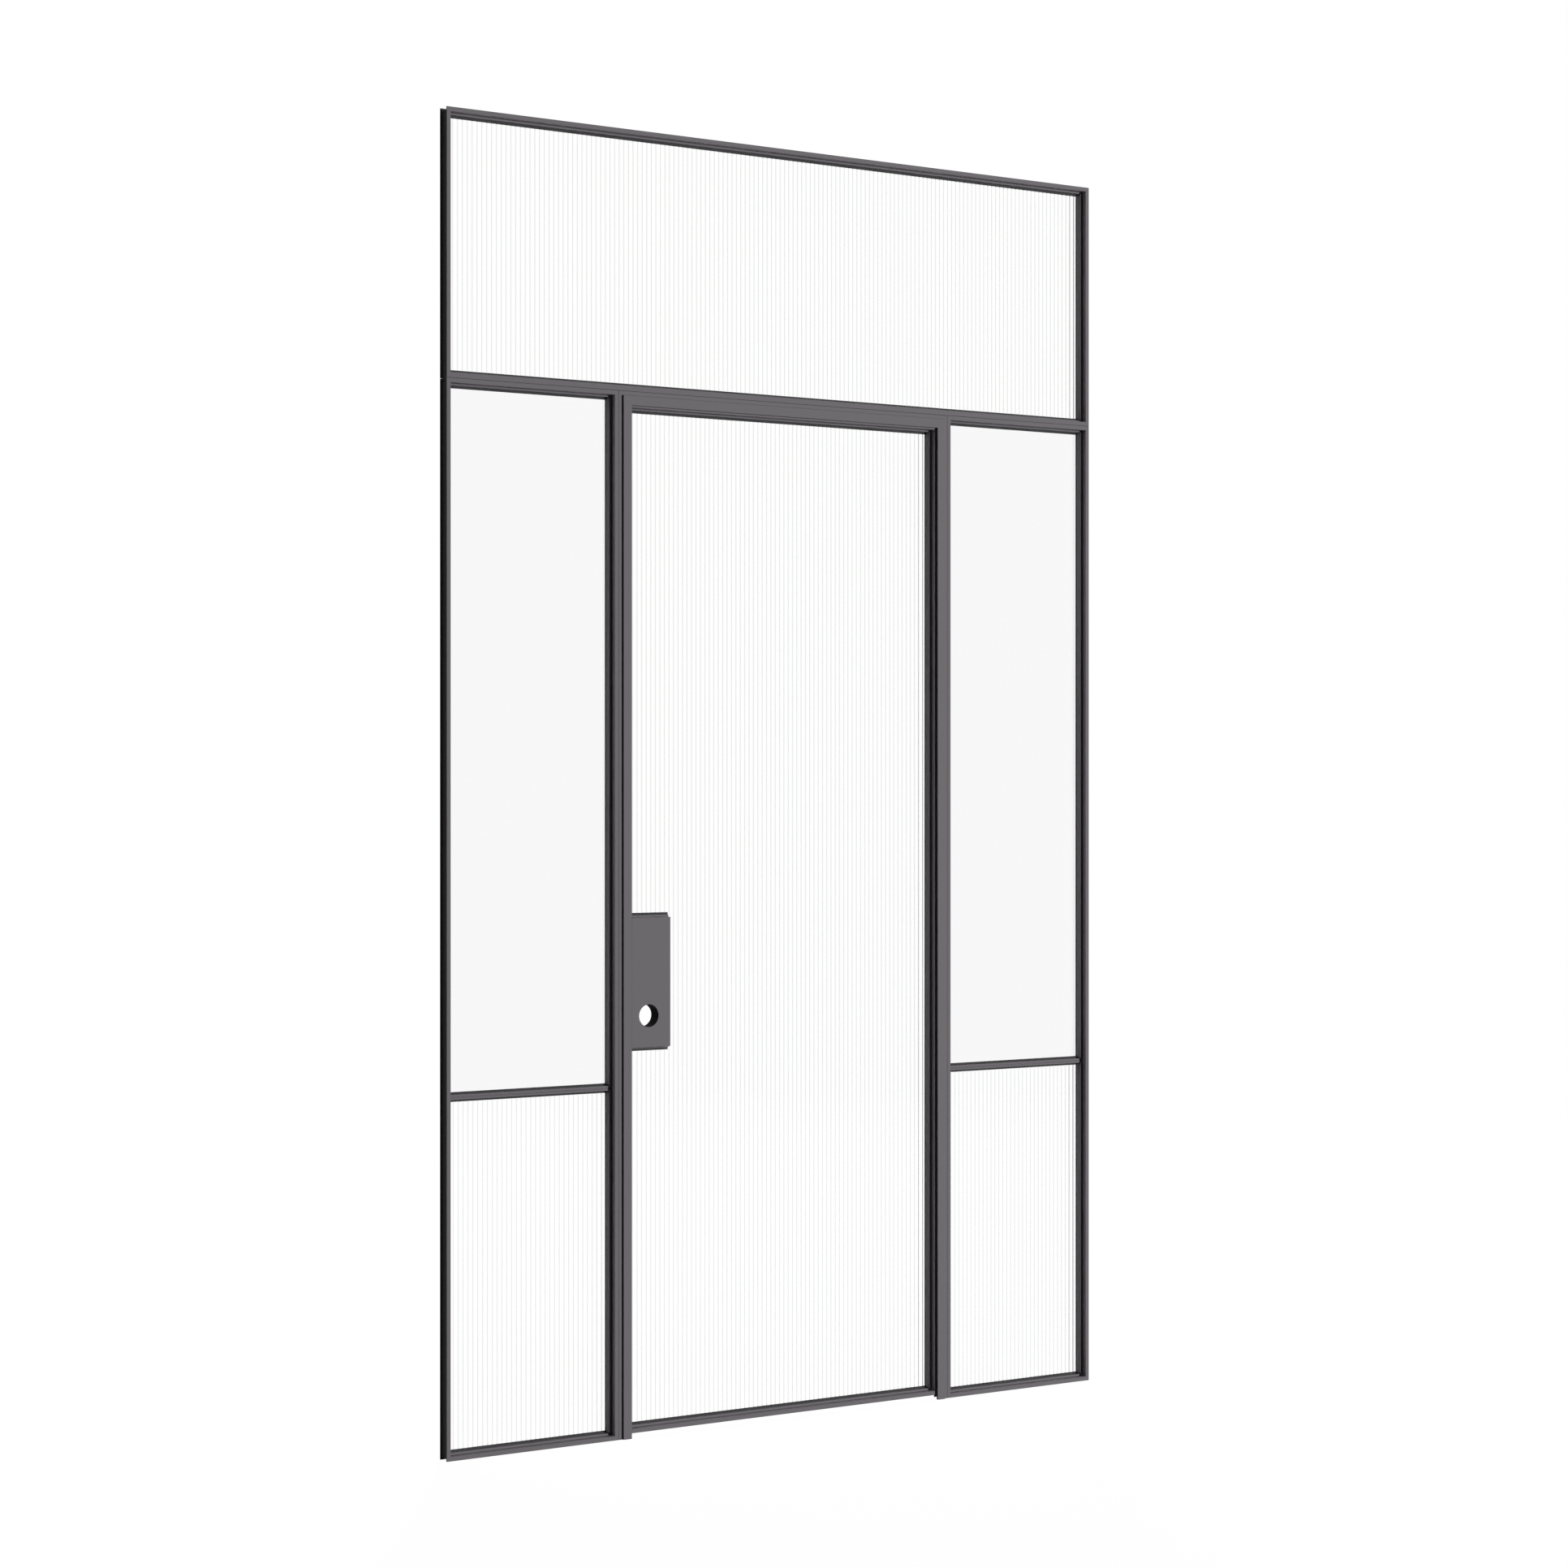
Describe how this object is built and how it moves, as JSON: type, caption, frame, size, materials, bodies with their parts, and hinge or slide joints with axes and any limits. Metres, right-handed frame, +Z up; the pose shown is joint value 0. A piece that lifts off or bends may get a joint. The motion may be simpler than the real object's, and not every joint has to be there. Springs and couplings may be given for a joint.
{
  "type": "glazed interior door screen with sidelights and toplight",
  "caption": "Slim metal-framed glass screen: a hinged reeded-glass door with a round grip hole between two sidelights, under a full-width toplight.",
  "frame": {"origin": "foot of the door frame's hinge jamb, on its flat cut end at floor level, in the middle of the jamb's solid web", "axes": "+Z up, +X to the right seen from the front, +Y from the front face to the back, where the door swings"},
  "size_m": [1.824, 0.0486, 3],
  "materials": {
    "frame_metal": "aluminium profile with a fine matt grey powder coat",
    "clear_glass": "clear toughened float glass, polished",
    "reeded_glass": "toughened glass rolled with upright reeds, translucent",
    "hinge_steel": "steel barrel hinge, powder coated in the frame's grey"
  },
  "bodies": {
    "frame": {"door_frame_head": "frame_metal", "door_frame_hinge_jamb": "frame_metal", "door_frame_lock_jamb": "frame_metal", "door_stop_head": "frame_metal", "door_stop_hinge_jamb": "frame_metal", "door_stop_lock_jamb": "frame_metal", "high_hinge_frame_half": "hinge_steel", "left_sidelight_bottom_rail": "frame_metal", "left_sidelight_glazing_bar": "frame_metal", "left_sidelight_left_stile": "frame_metal", "left_sidelight_lower_beads": "frame_metal", "left_sidelight_lower_glass": "reeded_glass", "left_sidelight_right_stile": "frame_metal", "left_sidelight_top_rail": "frame_metal", "left_sidelight_upper_beads": "frame_metal", "left_sidelight_upper_glass": "clear_glass", "low_hinge_frame_half": "hinge_steel", "middle_hinge_frame_half": "hinge_steel", "right_sidelight_bottom_rail": "frame_metal", "right_sidelight_glazing_bar": "frame_metal", "right_sidelight_left_stile": "frame_metal", "right_sidelight_lower_beads": "frame_metal", "right_sidelight_lower_glass": "reeded_glass", "right_sidelight_right_stile": "frame_metal", "right_sidelight_top_rail": "frame_metal", "right_sidelight_upper_beads": "frame_metal", "right_sidelight_upper_glass": "clear_glass", "toplight_beads": "frame_metal", "toplight_bottom_rail": "frame_metal", "toplight_glass": "reeded_glass", "toplight_head_rail": "frame_metal", "toplight_left_stile": "frame_metal", "toplight_right_stile": "frame_metal"},
    "leaf": {"high_hinge_leaf_half": "hinge_steel", "leaf_beads": "frame_metal", "leaf_bottom_rail": "frame_metal", "leaf_glass": "reeded_glass", "leaf_hinge_stile": "frame_metal", "leaf_lock_stile": "frame_metal", "leaf_top_rail": "frame_metal", "lock_case": "frame_metal", "lock_cover_back": "frame_metal", "lock_cover_front": "frame_metal", "low_hinge_leaf_half": "hinge_steel", "middle_hinge_leaf_half": "hinge_steel"}
  },
  "joints": [
    {"name": "door_swing", "type": "hinge", "parent": "frame", "child": "leaf", "pos_m": [-0.0142, 0.0231, 0], "axis": [0, 0, -1], "range_deg": [0, 120]}
  ]
}
